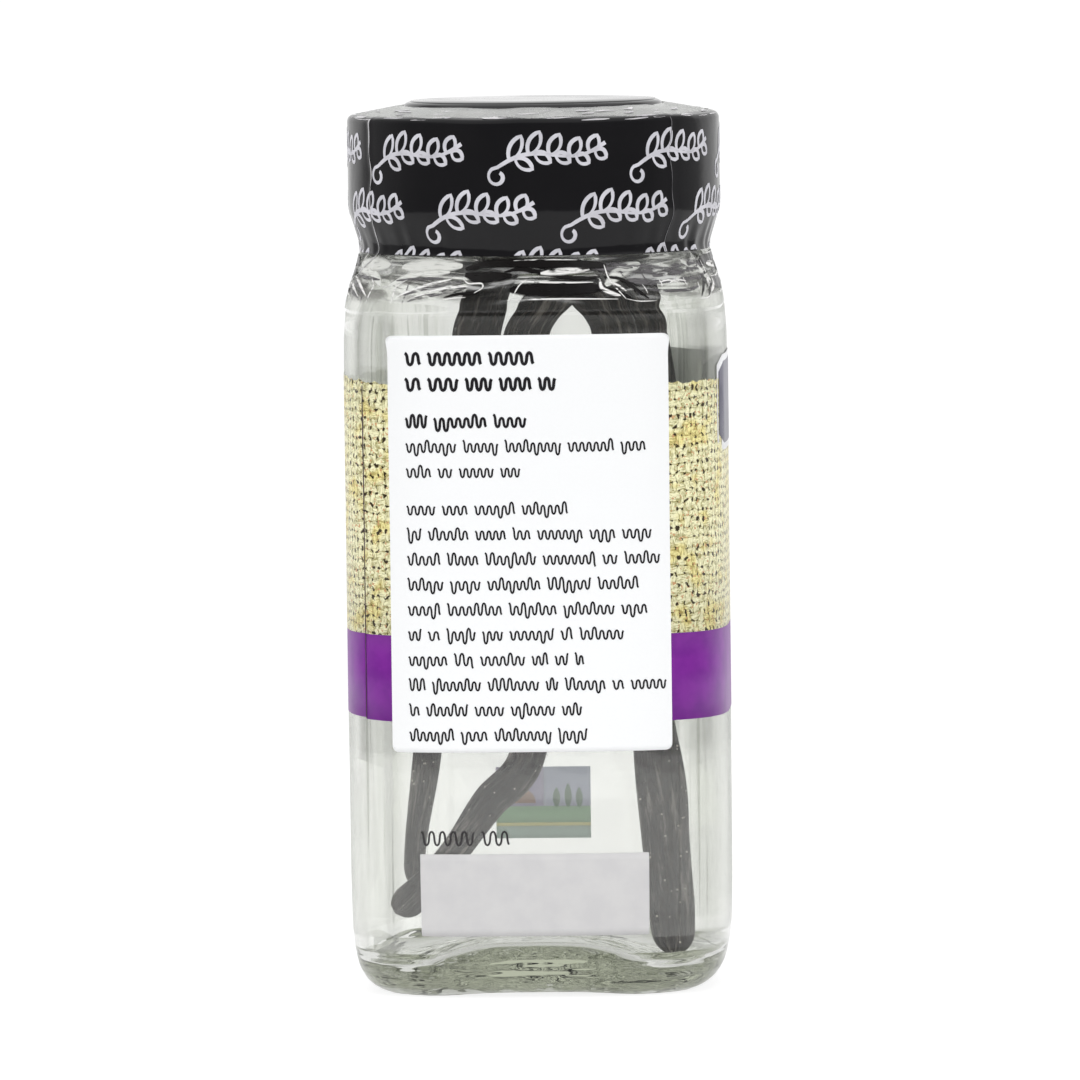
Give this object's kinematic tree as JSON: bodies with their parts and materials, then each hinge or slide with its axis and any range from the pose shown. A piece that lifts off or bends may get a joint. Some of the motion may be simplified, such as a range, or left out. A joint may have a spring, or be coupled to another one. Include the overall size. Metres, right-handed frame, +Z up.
{
  "type": "jar of vanilla pods",
  "caption": "Clear square spice jar with folded vanilla pods inside, a black shrink band over the round screw cap, and a wrap-round label with a white recipe label on the front.",
  "frame": {"origin": "middle of the jar's footprint, on the surface it stands on", "axes": "+Z up through the cap, -Y out of the face with the recipe label, +X to that label's right as it is read"},
  "size_m": [0.0452, 0.0454, 0.1051],
  "materials": {
    "clear_glass": "polished",
    "black_cap": "satin",
    "black_film": "gloss",
    "printed_film": "satin",
    "white_paper": "satin",
    "grey_print": "satin",
    "vanilla_pod": "satin"
  },
  "bodies": {
    "root": {"jar": "clear_glass", "cap": "black_cap", "shrink_band": "black_film", "wrap_label": "printed_film", "recipe_label": "white_paper", "date_patch": "grey_print", "pod_outer": "vanilla_pod", "pod_inner": "vanilla_pod"}
  },
  "joints": []
}
